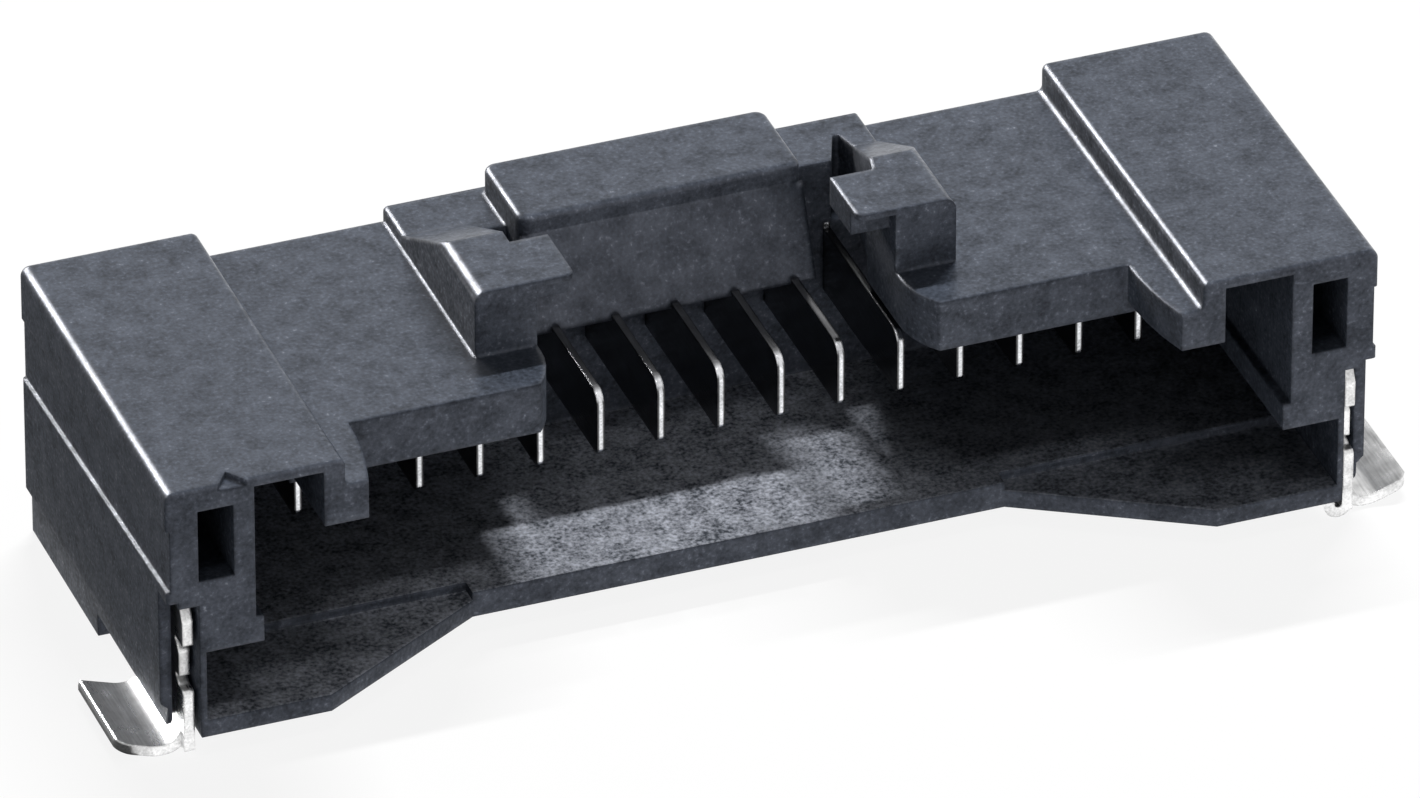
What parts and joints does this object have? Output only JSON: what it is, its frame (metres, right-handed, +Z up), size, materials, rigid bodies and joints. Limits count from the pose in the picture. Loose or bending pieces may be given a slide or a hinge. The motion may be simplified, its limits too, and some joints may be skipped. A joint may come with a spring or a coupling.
{
  "type": "wire-to-board header",
  "caption": "Right-angle surface-mount wire-to-board header: open-fronted housing with a row of blade contacts, twin lock hooks and solder nails.",
  "frame": {"origin": "on the board, in the middle of the rectangle that the part covers from above", "axes": "+X along the contact row with the first contact at -X, the plug comes in from -Y, +Z up from the board"},
  "size_m": [0.0268, 0.0104, 0.0071],
  "materials": {
    "housing_resin": "satin, fine glass-fibre speckle",
    "contact_plating": "tin-plated copper alloy, satin",
    "nail_plating": "tin-plated copper alloy, semi-bright"
  },
  "bodies": {
    "root": {"housing": "housing_resin", "contact_01": "contact_plating", "contact_02": "contact_plating", "contact_03": "contact_plating", "contact_04": "contact_plating", "contact_05": "contact_plating", "contact_06": "contact_plating", "contact_07": "contact_plating", "contact_08": "contact_plating", "contact_09": "contact_plating", "contact_10": "contact_plating", "contact_11": "contact_plating", "contact_12": "contact_plating", "contact_13": "contact_plating", "contact_14": "contact_plating", "contact_15": "contact_plating", "solder_nail_left": "nail_plating", "solder_nail_right": "nail_plating"}
  },
  "joints": []
}
